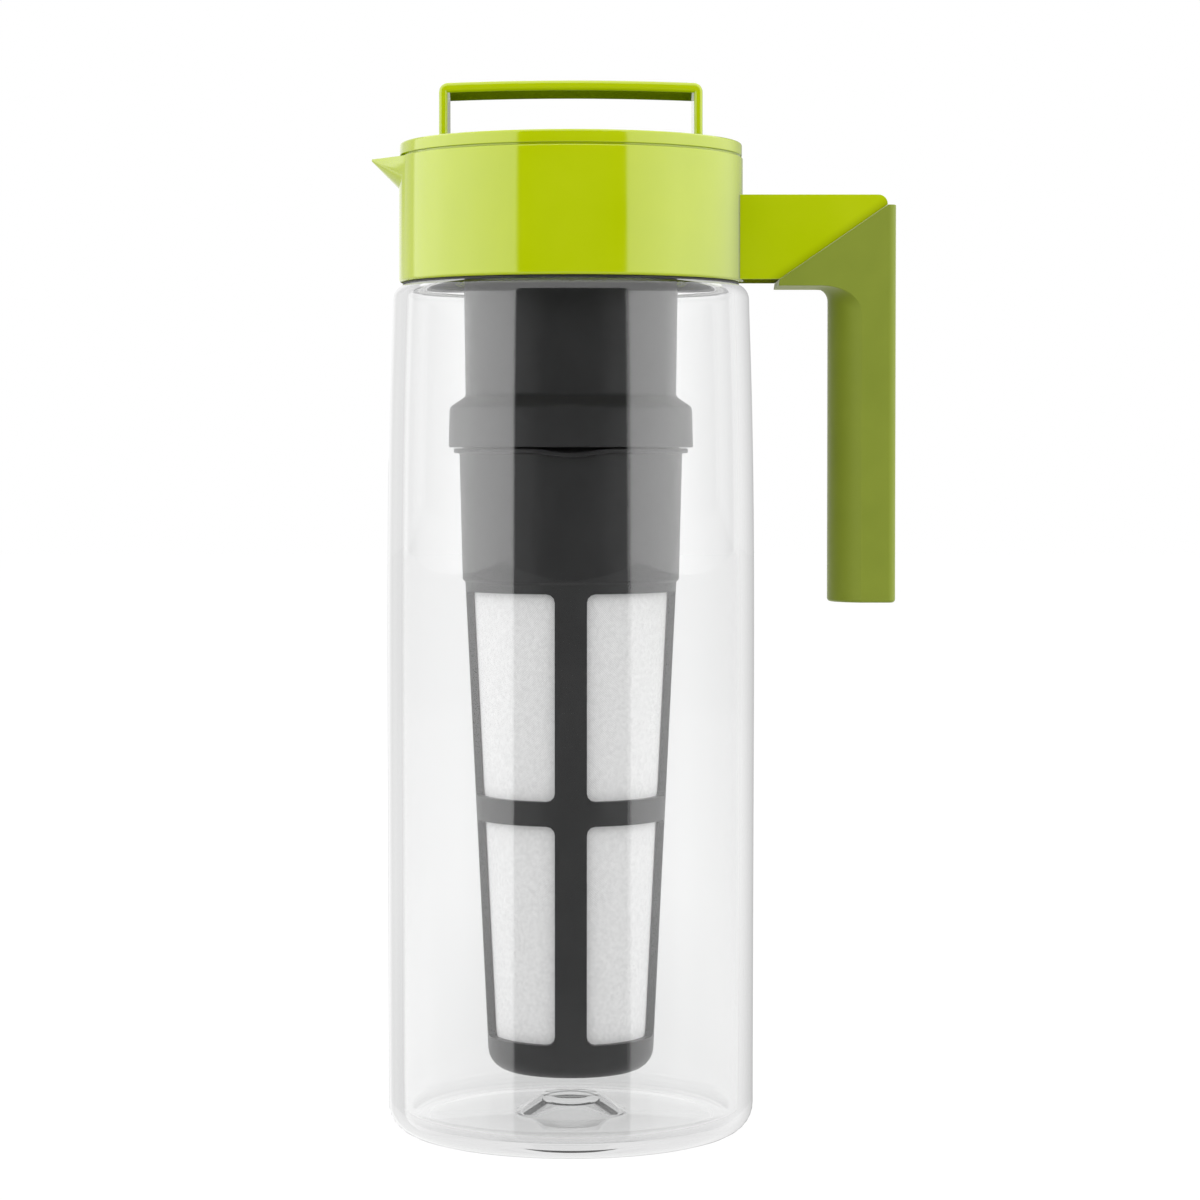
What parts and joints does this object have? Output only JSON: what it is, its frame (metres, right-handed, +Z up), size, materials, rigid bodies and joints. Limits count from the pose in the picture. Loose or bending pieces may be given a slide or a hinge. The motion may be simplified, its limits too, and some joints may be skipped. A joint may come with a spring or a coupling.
{
  "type": "iced tea pitcher",
  "caption": "Tall clear plastic jug with a lime collar, beak spout, side handle with a soft grip, and a turning strap lid that carries a mesh brewing infuser.",
  "frame": {"origin": "on the jug's upright axis, in the plane that its foot ring stands on", "axes": "+Z up along the jug's axis, +X towards the handle, -X towards the spout, -Y towards the viewer of the picture"},
  "size_m": [0.1532, 0.108, 0.3079],
  "materials": {
    "clear_plastic": "clear polished copolyester",
    "lime_plastic": "glossy moulded lime plastic",
    "olive_rubber": "soft-touch satin olive",
    "grey_plastic": "satin dark grey",
    "white_mesh": "fine woven white nylon mesh",
    "silicone": "soft milky silicone"
  },
  "bodies": {
    "jug": {"jug_body": "clear_plastic", "neck_gasket": "silicone", "collar": "lime_plastic", "handle_arm": "lime_plastic", "handle_grip": "olive_rubber"},
    "lid_seal": {"lid_gasket": "silicone"},
    "lid": {"lid_cap": "lime_plastic", "lid_loop": "lime_plastic", "lid_plug": "lime_plastic"},
    "infuser_neck": {"infuser_neck": "grey_plastic"},
    "infuser_basket": {"infuser_basket": "grey_plastic", "filter_mesh": "white_mesh"}
  },
  "joints": [
    {"name": "lid_lift", "type": "slide", "parent": "jug", "child": "lid_seal", "axis": [0, 0, 1], "range_m": [0, 0.275]},
    {"name": "lid_twist", "type": "hinge", "parent": "lid_seal", "child": "lid", "pos_m": [0, 0, 0.2861], "axis": [0, 0, 1], "range_deg": [0, 90]},
    {"name": "neck_twist", "type": "hinge", "parent": "lid", "child": "infuser_neck", "pos_m": [0, 0, 0.267], "axis": [0, 0, 1], "range_deg": [0, 60]},
    {"name": "basket_twist", "type": "hinge", "parent": "infuser_neck", "child": "infuser_basket", "pos_m": [0, 0, 0.2013], "axis": [0, 0, 1], "range_deg": [0, 60]}
  ]
}
